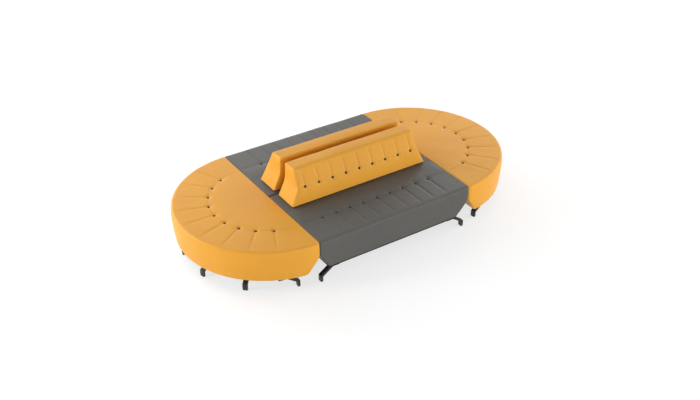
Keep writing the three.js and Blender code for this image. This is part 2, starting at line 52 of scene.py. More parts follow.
# Upholstered seat bodies
BODY_BOTTOM = 0.124
BEND = 0.269  # height from which the sides slope inwards, down to the bottom
FLAT_TAPER = 0.092  # how far the sides where benches and end seats meet slope inwards
OUTER_TAPER = 0.022  # the same for the outer side of a bench
END_TAPER = 0.014  # the same for the round side of an end seat
RIM = 0.018  # radius of the outer edge
FLAT_RIM = 0.007  # radius of the edges at the flat sides and the back
BELLY = 0.003  # how far the upright band swells
TAPER_SWELL = 0.002  # how far the slope under it swells
BOTTOM_ROLL = 0.004  # radius of the lower edge
BOTTOM_LIP = 0.03  # how far the cover reaches in under the body
RIM_CORNER = 0.005  # radius of the plumb corners, at the rim and below its roll
SIDE_CORNER = 0.013
CORE = (0.24, 0.27)  # depth and half width of the square net in the middle of an end seat's field
CORE_CORNER = math.radians(49)  # the way its corner lies
CORE_ROWS = 14  # rows between it and the seam

# Quilting
SEAM_RADIUS = 0.5
BENCH_DEPTHS = (0.012, 0.0005, 0.0042)  # of the tufts, the seam and the channels
END_DEPTHS = (0.012, 0.0005, 0.0028)
BACK_DEPTHS = (0.009, 0.0008, 0.0045)
SEAT_CROWN, BACK_CROWN = 0.005, 0.003  # how high the plain fields inside the seams rise
FIELD_MARGIN = 0.012  # the crown of a bench ends this far before the backrest
SHOULDER = 0.010  # half width of the valley along a seam
CHANNEL_SHOULDER = 0.013  # the same along a channel
TUFT_REACH = 0.024  # the same round a button
BAND = 0.282  # from the seam to the outer roll
CHANNEL_FADE = 6  # how late and suddenly a channel runs out towards the rim
CHANNEL_END = 0.94  # of the band, where the stitching of a channel ends
STITCHES_END = CHANNEL_END - 0.02  # the same for the threads that show
BACK_STITCHES_END = 0.92
ON_LINE = 0.0005  # a corner nearer to a line than this lies on it
NEAR_STATIONS = (0.004, 0.009, 0.016)  # rows of corners on either side of a stitched line
CALM = 0.025  # over which the quilting rises from a plain edge

# How the covers are tied down for the simulation, from 0, free, to 1, fixed
PRESSED = 0.03  # over which the hold of a pressed side falls by 1
PRESS_HOLD = 1.2  # at the neighbour itself, cut off at 1
SIDE_HOLDS = (1, 0.6, 0.8, 0)  # of a seat's side at these heights
HOLD_HEIGHTS = (BODY_BOTTOM + 0.004, BEND - 0.03, BEND, BEND + 0.035)
PLAIN_HOLD, REAR_HOLD = 0.15, 0.3  # of a backrest's sides and rear
PRESSURE = 4
SIM_FRAMES = 20
SIM_CAP = 0.0012  # how far a point of a cover may move
START_IN = 0.001  # how much smaller the covers start
SLACK = -0.001  # the share by which the covers shrink: less than 0 is cut larger

# Buttons
BUTTONS = 9
PITCH = 0.132
END_STEP = math.radians(16.3)
BUTTON_RADIUS = 0.011
BUTTON_DOME = 0.005
BUTTON_BASE = 0.0025  # the edge of a button over the bottom of its tuft
BUTTON_SIDES = 24
BUTTON_GATHER = 0.012  # depth of the gathers round the edge, as a share of the radius
BUTTON_PROFILE = (  # distance from the axis and height, as shares of the radius and the dome
    (0.86, -0.4), (1, -0.1), (1.02, 0.12), (0.97, 0.36), (0.84, 0.64), (0.62, 0.85), (0.34, 0.97)
)

# Fine relief of the covers
CREASE = 0.0028  # half width of a stitched crease
CREASE_DEPTH = 0.0006
CHANNEL_CREASE = 0.8  # how deep a channel's crease is, against the seam's
END_CREASE = 0.5  # the same on the end seats
PUCKER_HEIGHT = 0.0007
PUCKER_AT, PUCKER_WIDTH = 0.021, 0.008  # distance from a button, and spread
PUCKERS = 7
FACE_FROM, FACE_SOFT = 0.6, 0.2  # how much a point must face the quilted side's way to be sewn
CREASE_FADE = 0.02  # over which a channel's crease runs out
# Painted shade in the creases and round the buttons, stored on the covers for the leatherette's
# colour
CREASE_SHADE = 0.8  # how deep in a fold a crease counts for the painted shade, against a button
BUTTON_SHADE_REACH = 1.6 * BUTTON_RADIUS
SWAY_HEIGHT = 0.0006
SWAY_LENGTH = 0.16
SWAY_WAVES = 6

# Stitches
STITCH_PITCH, STITCH_LENGTH = 0.008, 0.0058
STITCH_RADIUS = 0.00055
STITCH_SIDES = 5
STITCH_PROFILE = (  # share of the length, thickness and height over the cover
    (0, 0.35, -0.3), (0.2, 1, 0.5), (0.8, 1, 0.5), (1, 0.35, -0.3)
)
FIRST_STITCH = 1.7 * BUTTON_RADIUS  # from a button's middle
STITCH_ABOVE, STITCH_REACH = 0.03, 0.08  # where the search for the cover starts, and its length
LAST_STITCH = 0.002  # from the roll at the flat side of an end seat

# Backrests, with heights above the rim of the seats
BACK_BOTTOM, BACK_SEAM, BACK_TOP = 0.0066, 0.151, 0.296
BACK_REACH = (0.268, 0.250, 0.168)  # from the sofa's middle, at the bottom, the seam and the top
BACK_HALF = (0.672, 0.600, 0.594)  # half of the length at the same heights
REACH_BEND, HALF_BEND = 0.012, 0.03  # how far the bends of these two at the seam are rounded
BEND_SHARES = np.linspace(-1, 1, 9)
BACK_LEAN = math.radians(18)
BACK_REAR = 0.037
BACK_RIM, REAR_RIM = 0.010, 0.005  # radius of the front and rear edges
BACK_LOW_RIM = 0.35  # how much of the rim's inset the lower edge has
BACK_SWELL, TOP_SWELL = 0.004, 0.6  # of the end faces, and of the top as a share of that
BACK_DEPTH_RINGS = 10
AT_EDGE = 0.9999  # a share of the half length or height from which a corner is on the edge


def bell(share):
    """1 at 0, and nearly 0 beyond 1.5 on either side."""
    return np.exp(-2 * share * share)


def arch(share):
    """0 at 0 and at 1, and 1 half way between."""
    share = np.clip(share, 0, 1)
    return 4 * share * (1 - share)


def calm(distance):
    """0 at a plain edge, and 1 well inside it."""
    return 1 - np.exp(-((np.maximum(distance, 0) / CALM) ** 2))


class Skin:
    """A closed skin of quads that is built net by net and ring by ring."""

    def __init__(self):
        self.points, self.holds, self.faces, self.count = [], [], [], 0

    def add(self, x, y, z, hold=0.0):
        """Adds corners, and returns their numbers in the same array shape. Hold says how firmly
        each is tied to the carcass, from 0 to 1."""
        x, y, z, hold = np.broadcast_arrays(x, y, z, hold)
        self.points.append(np.stack([x.ravel(), y.ravel(), z.ravel()], 1))
        self.holds.append(hold.ravel())
        first, self.count = self.count, self.count + x.size
        return np.arange(first, self.count).reshape(x.shape)

    def net(self, ids):
        quads = [ids[:-1, :-1], ids[:-1, 1:], ids[1:, 1:], ids[1:, :-1]]
        self.faces += np.stack(quads, -1).reshape(-1, 4).tolist()

    def fan(self, ring, tip):
        self.faces += [[a, b, tip] for a, b in zip(ring.tolist(), np.roll(ring, -1).tolist())]

    def wall(self, near, far):
        quads = [near, far, np.roll(far, -1), np.roll(near, -1)]
        self.faces += np.stack(quads, -1).reshape(-1, 4).tolist()

    def mesh(self, name):
        data = bpy.data.meshes.new(name)
        data.from_pydata(np.concatenate(self.points).tolist(), [], self.faces)
        data.shade_smooth()
        hold = data.attributes.new("hold", "FLOAT", "POINT")
        hold.data.foreach_set("value", np.concatenate(self.holds))
        data.update()
        return data


def seam_stations(pitch, end, steps, end_steps):
    """Places along a quilted seam from -end to end: close together at every button's channel, and
    even between them."""
    near = np.array(NEAR_STATIONS)
    shoulder = near[-1]
    buttons = pitch * (np.arange(BUTTONS) - (BUTTONS - 1) / 2)
    parts = [np.linspace(-end, buttons[0] - shoulder, end_steps, endpoint=False)]
    for k, at in enumerate(buttons):
        parts.append(at + np.r_[-near[::-1], 0, near[:-1]])
        last = k == BUTTONS - 1
        stop = end if last else buttons[k + 1] - shoulder
        count = end_steps + 1 if last else steps
        parts.append(np.linspace(at + shoulder, stop, count, endpoint=last))
    return np.concatenate(parts)


def across_stations(outer, inner, outer_steps, inner_steps):
    """Places across a seam, from outer (positive) to inner (negative)."""
    near = np.array(NEAR_STATIONS)
    far_out = np.linspace(outer, near[-1], outer_steps, endpoint=False)
    far_in = np.linspace(-near[-1], inner, inner_steps + 1)
    return np.r_[far_out, near[::-1], 0, -near[:-1], far_in]


def sewn(along, across, band):
    """1 on a stitched line, where the cover is tied down, and 0 off it."""
    on_seam = np.abs(across) < ON_LINE
    on_channel = (np.abs(along) < ON_LINE) & (across > 0) & (across < CHANNEL_END * band)
    return np.where(on_seam | on_channel, 1.0, 0.0)


def from_button(at, pitch):
    """How far a place along a seam is from the nearest button."""
    last = (BUTTONS - 1) / 2
    return at - pitch * np.clip(np.round(at / pitch), -last, last)


def relief(along, across, band, depths, crown):
    """Height of the quilted cover over its rim. Along is measured from the nearest channel, and
    across from the seam, outwards, where the channels are."""
    tuft_depth, seam_depth, channel_depth = depths
    tuft = tuft_depth * bell(np.hypot(along, across) / TUFT_REACH)
    seam = seam_depth * bell(across / SHOULDER)
    outward = np.clip(across / band, 0, 1)
    channel = channel_depth * bell(along / CHANNEL_SHOULDER) * (1 - outward**CHANNEL_FADE)
    channel = np.where(across > 0, channel, 0)
    return np.where(across > 0, 0, crown) - (tuft**4 + seam**4 + channel**4) ** 0.25


def rolled(depth, radius):
    """How far inside its side the surface of a rounded edge lies, at a depth under its top."""
    rest = max(radius - depth, 0)
    return radius - math.sqrt(radius * radius - rest * rest)


def side_levels(taper):
    """Rings of a seat body below its top: height, inset of the outer, flat and back sides, and
    corner radius."""
    levels = []
    for share in (0.22, 0.45, 0.72, 1):
        depth = RIM * (1 - math.cos(share * math.pi / 2))
        inset, flat = rolled(depth, RIM), rolled(depth, FLAT_RIM)
        corner = SIDE_CORNER + (RIM_CORNER - SIDE_CORNER) * inset / RIM
        levels.append((SEAT_HEIGHT - depth, inset, flat, flat, corner))
    band_top = SEAT_HEIGHT - RIM
    for share in (0.17, 0.34, 0.52, 0.7, 0.87, 0.96, 1):
        z = band_top + (BEND - band_top) * share
        levels.append((z, -BELLY * arch(share), 0, 0, SIDE_CORNER))
    low = BODY_BOTTOM + BOTTOM_ROLL
    for share in (0.04, 0.13, 0.3, 0.48, 0.66, 0.83, 1):
        z = BEND + (low - BEND) * share
        swell = TAPER_SWELL * arch(share)
        levels.append((z, taper * share - swell, FLAT_TAPER * share - swell, 0, SIDE_CORNER))
    for inset, drop in ((0.3, 0.7), (1, 1), (BOTTOM_LIP / BOTTOM_ROLL, 1)):
        more = inset * BOTTOM_ROLL
        z = low - drop * BOTTOM_ROLL
        levels.append((z, taper + more, FLAT_TAPER + more, more, SIDE_CORNER))
    return levels


def rounded(a, b, radius):
    """Rounds the corner where the distances a and b from two sides are both small."""
    p, q = np.maximum(radius - a, 0), np.maximum(radius - b, 0)
    both = (p > 0) & (q > 0)
    share = np.where(both, np.maximum(p, q) / np.maximum(np.hypot(p, q), 1e-9), 1)
    return np.where(both, radius - p * share, a), np.where(both, radius - q * share, b)


def round_box(x, y, half, front, back, radius):
    """Rounds the corners of the rectangle from -half to half and from front to back."""
    mid = (front + back) / 2
    near = y < mid
    a, b = rounded(half - np.abs(x), np.where(near, y - front, back - y), radius)
    return np.sign(x) * (half - a), np.where(near, front + b, back - b)


def rim_of(ids):
    """The edge of a net without its first column, from its first corner."""
    return np.r_[ids[0], ids[1:, -1], ids[-1, -2::-1]]


def ring_round(ids):
    """The edge of a net, from its first corner."""
    return np.r_[rim_of(ids), ids[-2:0:-1, 0]]


def press_hold(distance):
    """How firmly a cover is tied at a distance from what it presses on."""
    return np.clip(PRESS_HOLD - distance / PRESSED, 0, 1)


def level_hold(z):
    """How firmly the side of a seat body is tied at a height."""
    return np.interp(z, HOLD_HEIGHTS, SIDE_HOLDS)


def bench_seat():
    """The quilted bench seat as a closed skin that faces -Y."""
    skin = Skin()
    half, front, back = HALF_BENCH - PRESS_GAP / 2, -END_RADIUS, -BACK_GAP / 2
    top_half, top_front, top_back = half - FLAT_RIM, front + RIM, back - FLAT_RIM
    x = seam_stations(PITCH, top_half, steps=8, end_steps=12)
    across = across_stations(BAND, -SEAM_RADIUS - top_back, outer_steps=18, inner_steps=30)
    x, across = np.meshgrid(x, across)
    y = -SEAM_RADIUS - across
    along, from_side, from_back = from_button(x, PITCH), top_half - np.abs(x), top_back - y
    crown = SEAT_CROWN * arch(-across / (SEAM_RADIUS - BACK_REACH[0] - FIELD_MARGIN))
    height = relief(along, across, BAND, BENCH_DEPTHS, crown) * (calm(from_side) * calm(from_back))
    height[0] = 0
    xs, ys = round_box(x, y, top_half, top_front, top_back, RIM_CORNER)
    hold = np.maximum(sewn(along, across, BAND), press_hold(np.minimum(from_side, from_back)))
    ids = skin.add(xs, ys, SEAT_HEIGHT + height, hold)
    skin.net(ids)
    near, edge = ring_round(ids), ring_round(np.arange(x.size).reshape(x.shape))
    u = x.ravel()[edge] / top_half
    v = (y.ravel()[edge] - top_back) / (top_front - top_back)
    for z, outer, flat, rear, corner in side_levels(OUTER_TAPER):
        h, f, b = half - flat, front + outer, back - rear
        xs, ys = round_box(u * h, b + v * (f - b), h, f, b, corner)
        hold = np.maximum(press_hold(np.minimum(h - np.abs(xs), b - ys)), level_hold(z))
        far = skin.add(xs, ys, z, hold)
        skin.wall(near, far)
        near = far
    return skin


def end_seat():
    """The quilted half-round seat as a closed skin. Its flat side stands on x = 0."""
    skin = Skin()
    flat_side, top_radius = PRESS_GAP / 2, END_RADIUS - RIM
    flat = flat_side + FLAT_RIM
    across = across_stations(BAND, -NEAR_STATIONS[-1], outer_steps=18, inner_steps=0)
    rows, along = [], []
    for radius in SEAM_RADIUS + across:
        end = math.acos(flat / radius) * radius
        at = seam_stations(END_STEP * radius, end, steps=10, end_steps=14)
        rows.append((radius * np.cos(at / radius), radius * np.sin(at / radius)))
        along.append(from_button(at, END_STEP * radius))
    along = np.array(along)
    inner = np.array(rows[-1])
    n_x = int(np.argmin(np.abs(np.arctan2(inner[1], inner[0]) + CORE_CORNER)))
    n_y = inner.shape[1] - 1 - 2 * n_x
    columns = np.linspace(flat, CORE[0], n_x + 1)
    cx, cy = np.meshgrid(columns, np.linspace(-CORE[1], CORE[1], n_y + 1))
    core_ring = np.array([rim_of(cx), rim_of(cy)])
    shares = np.linspace(0, 1, CORE_ROWS + 1)[1:-1]
    between = [inner + (core_ring - inner) * share for share in shares]

    def field_height(x, y):
        room = np.sqrt(np.maximum(SEAM_RADIUS**2 - y**2, 1e-6))
        share = (x - flat) / np.maximum(room - flat, 1e-3)
        return SEAT_CROWN * arch(share) * room / SEAM_RADIUS

    x, y = np.array([row[0] for row in rows]), np.array([row[1] for row in rows])
    across = np.broadcast_to(across[:, None], x.shape)
    heights = [relief(along, across, BAND, END_DEPTHS, field_height(x, y))]
    for points in between:
        at = from_button(np.arctan2(points[1], points[0]) * SEAM_RADIUS, END_STEP * SEAM_RADIUS)
        valley = relief(at, np.hypot(*points) - SEAM_RADIUS, BAND, END_DEPTHS, 0)
        heights.append(field_height(*points) + valley)
    x = np.vstack([x] + [points[0] for points in between])
    y = np.vstack([y] + [points[1] for points in between])
    height = np.vstack(heights) * calm(x - flat)
    height[0] = 0
    a, b = rounded(x - flat, top_radius - np.hypot(x, y), RIM_CORNER)
    shown_x, shown_r = flat + a, top_radius - b
    shown_y = np.sign(y) * np.sqrt(np.maximum(shown_r**2 - shown_x**2, 0))
    moved = (a != x - flat) | (b != top_radius - np.hypot(x, y))
    xs, ys = np.where(moved, shown_x, x), np.where(moved, shown_y, y)
    hold = press_hold(xs - flat)
    hold[: len(rows)] = np.maximum(hold[: len(rows)], sewn(along, across, BAND))
    ids = skin.add(xs, ys, SEAT_HEIGHT + height, hold)
    core_height = field_height(cx, cy) * calm(cx - flat)
    core = skin.add(cx, cy, SEAT_HEIGHT + core_height, press_hold(cx - flat))
    ids = np.vstack([ids, rim_of(core)])
    skin.net(ids)
    skin.net(core)
    down = core[n_y - 1 : 0 : -1, 0]
    near = np.r_[ids[0], ids[1:, -1], down, ids[:0:-1, 0]]
    where = np.concatenate(skin.points)[near]
    arc = len(ids[0])
    reach = math.sqrt(top_radius**2 - flat**2)
    u = np.arctan2(y[0], x[0]) / math.acos(flat / top_radius)
    v = where[arc:, 1] / reach
    for z, outer, inset, _, corner in side_levels(END_TAPER):
        r, f = END_RADIUS - outer, flat_side + inset
        top = math.acos(f / r)
        side = math.sqrt(r * r - f * f)
        px = np.r_[r * np.cos(u * top), np.full(v.size, f)]
        py = np.r_[r * np.sin(u * top), v * side]
        a, b = rounded(px - f, r - np.hypot(px, py), corner)
        px = f + a
        py = np.sign(py) * np.sqrt(np.maximum((r - b) ** 2 - px**2, 0))
        py[arc:] = np.where(np.abs(v * side) < side - corner, v * side, py[arc:])
        far = skin.add(px, py, z, np.maximum(press_hold(px - f), level_hold(z)))
        skin.wall(near, far)
        near = far
    return skin


def back_profile(height):
    """Reach of a backrest's front face from the middle of the sofa and its half length, by height
    over the rim of the seat. The bend at the seam is rounded."""
    knots = (0, BACK_SEAM, BACK_TOP)
    room = np.minimum(np.maximum(height, 0), np.maximum(BACK_TOP - height, 0))
    found = []
    for values, soft in ((BACK_REACH, REACH_BEND), (BACK_HALF, HALF_BEND)):
        spread = np.minimum(room, soft)
        tries = [np.interp(height + spread * share, knots, values) for share in BEND_SHARES]
        found.append(np.mean(tries, 0))
    return found


def back_normal(height):
    """The way the front face looks: its parts along -Y and Z."""
    low = math.atan2(BACK_REACH[0] - BACK_REACH[1], BACK_SEAM)
    high = math.atan2(BACK_REACH[1] - BACK_REACH[2], BACK_TOP - BACK_SEAM)
    turn = low + (high - low) * (0.5 + 0.5 * np.tanh((height - BACK_SEAM) / SHOULDER))
    return -np.cos(turn), np.sin(turn)


def backrest():
    """The quilted front backrest as a closed skin."""
    skin = Skin()
    low, high = BACK_BOTTOM + BACK_RIM * BACK_LOW_RIM, BACK_TOP - BACK_RIM
    upper = high - BACK_SEAM
    across = across_stations(upper, low - BACK_SEAM, outer_steps=9, inner_steps=10)[::-1]
    rows = []
    for height in BACK_SEAM + across:
        end = back_profile(height)[1] - BACK_RIM
        rows.append(seam_stations(PITCH, end, steps=7, end_steps=7))
    x = np.array(rows)
    across = np.broadcast_to(across[:, None], x.shape)
    z = BACK_SEAM + across
    reach, half = back_profile(z)
    along = from_button(x, PITCH)
    crown = BACK_CROWN * arch(-across / (BACK_SEAM - low))
    height = relief(along, across, upper, BACK_DEPTHS, crown) * calm(half - BACK_RIM - np.abs(x))
    height[0], height[-1] = 0, 0
    ny, nz = back_normal(z)
    hold = np.maximum(sewn(along, across, upper), press_hold(z))
    ids = skin.add(x, -reach + ny * height, SEAT_HEIGHT + z + nz * height, hold)
    skin.net(ids)
    near, edge = ring_round(ids), ring_round(np.arange(x.size).reshape(x.shape))
    u = x.ravel()[edge] / (half.ravel()[edge] - BACK_RIM)
    v = (z.ravel()[edge] - low) / (high - low)

    def ring(inset, depth, swell=0.0, rim=BACK_RIM):
        """A ring round the backrest. Depth gives its place along Y from the front's reach."""
        floor, top = BACK_BOTTOM + inset * BACK_LOW_RIM, BACK_TOP - inset
        level = floor + v * (top - floor)
        reach, half = back_profile(level)
        side = half - inset
        level_x = u * side
        on_end, on_top = np.abs(u) > AT_EDGE, v > AT_EDGE
        corner = SIDE_CORNER + (RIM_CORNER - SIDE_CORNER) * inset / rim
        a, b = rounded(side - np.abs(level_x), top - level, corner)
        level_x = np.sign(level_x) * (side - a) + np.sign(u) * on_end * swell * arch(v)
        level = top - b + on_top * swell * TOP_SWELL * arch((u + 1) / 2)
        hold = np.maximum(PLAIN_HOLD, press_hold(level))
        return skin.add(level_x, depth(reach), SEAT_HEIGHT + level, hold)

    turns = [share * math.pi / 2 for share in (0.25, 0.5, 0.75, 1)]
    rings = []
    for turn in turns:
        drop = BACK_RIM * (1 - math.cos(turn))
        rings.append(ring(BACK_RIM * (1 - math.sin(turn)), lambda reach: drop - reach))
    rear = -BACK_REAR - REAR_RIM
    for share in np.linspace(0, 1, BACK_DEPTH_RINGS + 2)[1:-1]:
        depth = lambda reach: (BACK_RIM - reach) + (rear + reach - BACK_RIM) * share
        rings.append(ring(0, depth, BACK_SWELL * arch(share)))
    for turn in turns[::-1] + [0]:
        drop, inset = REAR_RIM * (1 - math.cos(turn)), REAR_RIM * (1 - math.sin(turn))
        depth = lambda reach: np.full(u.size, -BACK_REAR - drop)
        rings.append(ring(inset, depth, rim=REAR_RIM))
    for far in rings:
        skin.wall(near, far)
        near = far
    last = np.empty(x.shape, int)
    last.ravel()[edge] = near
    last[1:-1, 1:-1] = skin.add(x[1:-1, 1:-1], -BACK_REAR, SEAT_HEIGHT + z[1:-1, 1:-1], REAR_HOLD)
    skin.net(last[::-1])
    return skin


TURN = Matrix.Rotation(math.pi, 4, "Z")
RIGHT = Matrix.Translation((HALF_BENCH, 0, 0))
PLACES = {
    "front": Matrix.Identity(4),
    "rear": TURN,
    "right": RIGHT,
    "left": TURN @ RIGHT,
}


def read(values, field, width=1):
    """A field of a mesh's corners as an array."""
    found = np.empty(len(values) * width)
    values.foreach_get(field, found)
    return found.reshape(-1, width) if width > 1 else found


def sway(mesh, seed):
    """Makes the free parts of a cover slightly uneven, differently for each seed."""
    random = np.random.default_rng(seed)
    where = read(mesh.vertices, "co", 3)
    normals = read(mesh.vertex_normals, "vector", 3)
    free = 1 - np.clip(read(mesh.attributes["hold"].data, "value"), 0, 1)
    waves = random.normal(size=(SWAY_WAVES, 3)) * 2 * math.pi / SWAY_LENGTH / math.sqrt(3)
    starts = random.uniform(0, 2 * math.pi, SWAY_WAVES)
    height = np.cos(where @ waves.T + starts).mean(1) * SWAY_HEIGHT * 2 * free
    mesh.vertices.foreach_set("co", (where + normals * height[:, None]).ravel())
    mesh.update()


def shown(name, data):
    """A new object of the scene."""
    made = bpy.data.objects.new(name, data)
    bpy.context.scene.collection.objects.link(made)
    return made


def dressed(name, data, material):
    """A new piece of the sofa with its material."""
    data.materials.clear()
    data.materials.append(material)
    piece = shown(name, data)
    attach(piece, "root")
    return piece


def place(name, mesh, where, material, seed=None):
    """A new piece of the sofa from a module's mesh, moved to its place."""
    data = mesh.copy()
    data.name = name
    if seed is not None:
        sway(data, seed)
    data.transform(PLACES[where])
    return dressed(name, data, material)


def inflated(skin, name):
    """The cover after a cloth simulation under pressure from the foam, tied down at its stitched
    lines, its foot and where it presses on its neighbours."""
    mesh = skin.mesh(name)
    holds = np.concatenate(skin.holds)
    start = np.concatenate(skin.points)
    normals = read(mesh.vertex_normals, "vector", 3)
    start = start - normals * (START_IN * (1 - holds))[:, None]
    mesh.vertices.foreach_set("co", start.ravel())
    holder = shown(name, mesh)
    ties = holder.vertex_groups.new(name="ties")
    levels = np.round(holds, 2)
    for level in np.unique(levels[levels > 0]):
        ties.add(np.flatnonzero(levels == level).tolist(), float(level), "REPLACE")
    modifier = holder.modifiers.new("cloth", "CLOTH")
    cloth = modifier.settings
    cloth.quality = 4
    cloth.mass = 0.4
    cloth.tension_stiffness = cloth.compression_stiffness = 30
    cloth.shear_stiffness = 12
    cloth.bending_stiffness = 2
    cloth.air_damping = 4
    cloth.shrink_min = SLACK
    cloth.use_pressure = True
    cloth.uniform_pressure_force = PRESSURE
    cloth.vertex_group_mass = "ties"
    cloth.effector_weights.gravity = 0
    modifier.collision_settings.use_collision = False
    modifier.point_cache.frame_start = 1
    modifier.point_cache.frame_end = SIM_FRAMES
    for step in range(1, SIM_FRAMES + 1):
        bpy.context.scene.frame_set(step)
    graph = bpy.context.evaluated_depsgraph_get()
    moved = read(holder.evaluated_get(graph).to_mesh().vertices, "co", 3) - start
    far = np.linalg.norm(moved, axis=1, keepdims=True)
    moved *= SIM_CAP * np.tanh(far / SIM_CAP) / np.maximum(far, 1e-9)
    bpy.data.objects.remove(holder)
    mesh.vertices.foreach_set("co", (start + moved).ravel())
    mesh.update()
    bpy.context.scene.frame_set(1)
    return mesh


def subdivided(mesh):
    """The mesh with one subdivision applied, and its open underside closed by one flat face."""
    holder = shown("holder", mesh)
    modifier = holder.modifiers.new("smooth", "SUBSURF")
    modifier.levels = modifier.render_levels = 1
    graph = bpy.context.evaluated_depsgraph_get()
    result = bpy.data.meshes.new_from_object(holder.evaluated_get(graph))
    bpy.data.objects.remove(holder)
    work = bmesh.new()
    work.from_mesh(result)
    bmesh.ops.holes_fill(work, edges=[edge for edge in work.edges if edge.is_boundary], sides=0)
    work.to_mesh(result)
    work.free()
    return result


def bench_frame(where):
    """Places on the front bench's top: along from the nearest channel, and across from the seam."""
    return from_button(where[:, 0], PITCH), -SEAM_RADIUS - where[:, 1]


def end_frame(where):
    """The same on the right end seat, whose middle is the origin."""
    radius = np.hypot(where[:, 0], where[:, 1])
    turn = np.arctan2(where[:, 1], where[:, 0])
    return from_button(turn * radius, END_STEP * radius), radius - SEAM_RADIUS


def back_frame(where):
    """The same on the front backrest's face."""
    return from_button(where[:, 0], PITCH), where[:, 2] - SEAT_HEIGHT - BACK_SEAM


def detailed(mesh, frame_of, facing, band, crease=CHANNEL_CREASE):
    """Sews the fine creases into a cover and puckers it round its buttons. The attribute it adds
    says how deep in a fold or round a button each corner lies, for the painted shade of the
    material."""
    where = read(mesh.vertices, "co", 3)
    normals = read(mesh.vertex_normals, "vector", 3)
    along, across = frame_of(where)
    on_face = np.clip((normals @ facing - FACE_FROM) / FACE_SOFT, 0, 1)
    run = np.clip((CHANNEL_END * band - across) / CREASE_FADE, 0, 1) * (across > 0)
    line = np.maximum(bell(across / CREASE), crease * bell(along / CREASE) * run)
    radius, turn = np.hypot(along, across), np.arctan2(across, along)
    ring = np.exp(-(((radius - PUCKER_AT) / PUCKER_WIDTH) ** 2))
    height = PUCKER_HEIGHT * ring * np.cos(PUCKERS * turn) - CREASE_DEPTH * line
    mesh.vertices.foreach_set("co", (where + normals * (on_face * height)[:, None]).ravel())
    # painted shade: darkest on the creases and round the buttons, used to darken the cover's colour
    fold = np.clip(line * CREASE_SHADE + bell(radius / BUTTON_SHADE_REACH), 0, 1) * on_face
    mesh.attributes.new("fold", "FLOAT", "POINT").data.foreach_set("value", fold)
    mesh.update()
    return mesh


def around(sides):
    """The directions of the corners of a ring."""
    return np.arange(sides) * 2 * math.pi / sides


def buttons_mesh(name, places):
    """Covered buttons. Each place is the bottom of a tuft and the way it faces."""
    skin = Skin()
    turn = around(BUTTON_SIDES)
    for at, facing in places:
        axis = Vector(facing).normalized()
        spin = np.array(axis.to_track_quat("Z", "Y").to_matrix())

        def ring(share, rise):
            gathers = 1 + BUTTON_GATHER * np.cos(turn * BUTTON_SIDES / 3) * (share > 0.8)
            radius = BUTTON_RADIUS * share * gathers
            height = np.full(turn.size, BUTTON_BASE + BUTTON_DOME * rise)
            local = np.stack([radius * np.cos(turn), radius * np.sin(turn), height], 1)
            return skin.add(*(local @ spin.T + at).T)

        rings = [ring(*step) for step in BUTTON_PROFILE]
        for near, far in zip(rings, rings[1:]):
            skin.wall(far, near)
        top = skin.add(*(np.array([0, 0, BUTTON_BASE + BUTTON_DOME]) @ spin.T + at))
        bottom = skin.add(*(np.array([0, 0, BUTTON_BASE - BUTTON_DOME * 0.5]) @ spin.T + at))
        skin.fan(rings[-1], int(top))
        skin.fan(rings[0][::-1], int(bottom))
    return skin.mesh(name)


def stitches_mesh(name, mesh, lines, facing):
    """Short threads laid on a cover along lines of points."""
    faces = [tuple(face.vertices) for face in mesh.polygons]
    tree = BVHTree.FromPolygons(read(mesh.vertices, "co", 3).tolist(), faces)
    skin = Skin()
    down = -Vector(facing)
    turn = around(STITCH_SIDES)

    def on_cover(line, reach, distance):
        """The place on the cover at a distance along a line, or None where the cover isn't met."""
        spot = Vector([np.interp(distance, reach, line[:, axis]) for axis in range(3)])
        return tree.ray_cast(spot - down * STITCH_ABOVE, down, STITCH_REACH)[0]

    for line in lines:
        line = np.asarray(line)
        reach = np.r_[0, np.cumsum(np.linalg.norm(np.diff(line, axis=0), axis=1))]
        for k in range(int(reach[-1] / STITCH_PITCH)):
            low = (k + 0.5) * STITCH_PITCH - STITCH_LENGTH / 2
            a, b = on_cover(line, reach, low), on_cover(line, reach, low + STITCH_LENGTH)
            if a is None or b is None:
                continue
            way = (b - a).normalized()
            side = way.cross(down).normalized()
            rise = side.cross(way)
            if rise.dot(down) > 0:
                rise = -rise
            circle = np.outer(np.cos(turn), side) + np.outer(np.sin(turn), rise)
            rings = []
            for share, thick, lift in STITCH_PROFILE:
                middle = np.array(a.lerp(b, share) + rise * STITCH_RADIUS * lift)
                rings.append(skin.add(*(middle + circle * (STITCH_RADIUS * thick)).T))
            for near, far in zip(rings, rings[1:]):
                skin.wall(near, far)
            skin.faces += [rings[0][::-1].tolist(), rings[-1].tolist()]
    return skin.mesh(name)


def node(tree, kind, **settings):
    """A new shader node with its settings."""
    made = tree.nodes.new(kind)
    for name, value in settings.items():
        setattr(made, name, value)
    return made


def feed(tree, value, socket):
    """Gives a socket a plain number or the value of another socket."""
    if isinstance(value, (int, float)):
        socket.default_value = value
    else:
        tree.links.new(value, socket)


def combined(tree, operation, a, b):
    """What an operation makes of two values, each a socket or a number."""
    made = node(tree, "ShaderNodeMath", operation=operation)
    feed(tree, a, made.inputs[0])
    feed(tree, b, made.inputs[1])
    return made.outputs[0]


def ranged(tree, value, low, high, to_low, to_high):
    """A value that runs from to_low to to_high while another runs from low to high."""
    made = node(tree, "ShaderNodeMapRange")
    for given, socket in zip((value, low, high, to_low, to_high), made.inputs):
        feed(tree, given, socket)
    return made.outputs[0]


NOISE_RANGE = (0.3, 0.7)  # what most of a noise's values lie between
WORN_EDGE = (0.52, 0.6)  # pointiness of an edge that stands out slightly, and clearly
SHEEN_ROUGHNESS = 0.4
CELL_SMOOTHNESS = 0.4


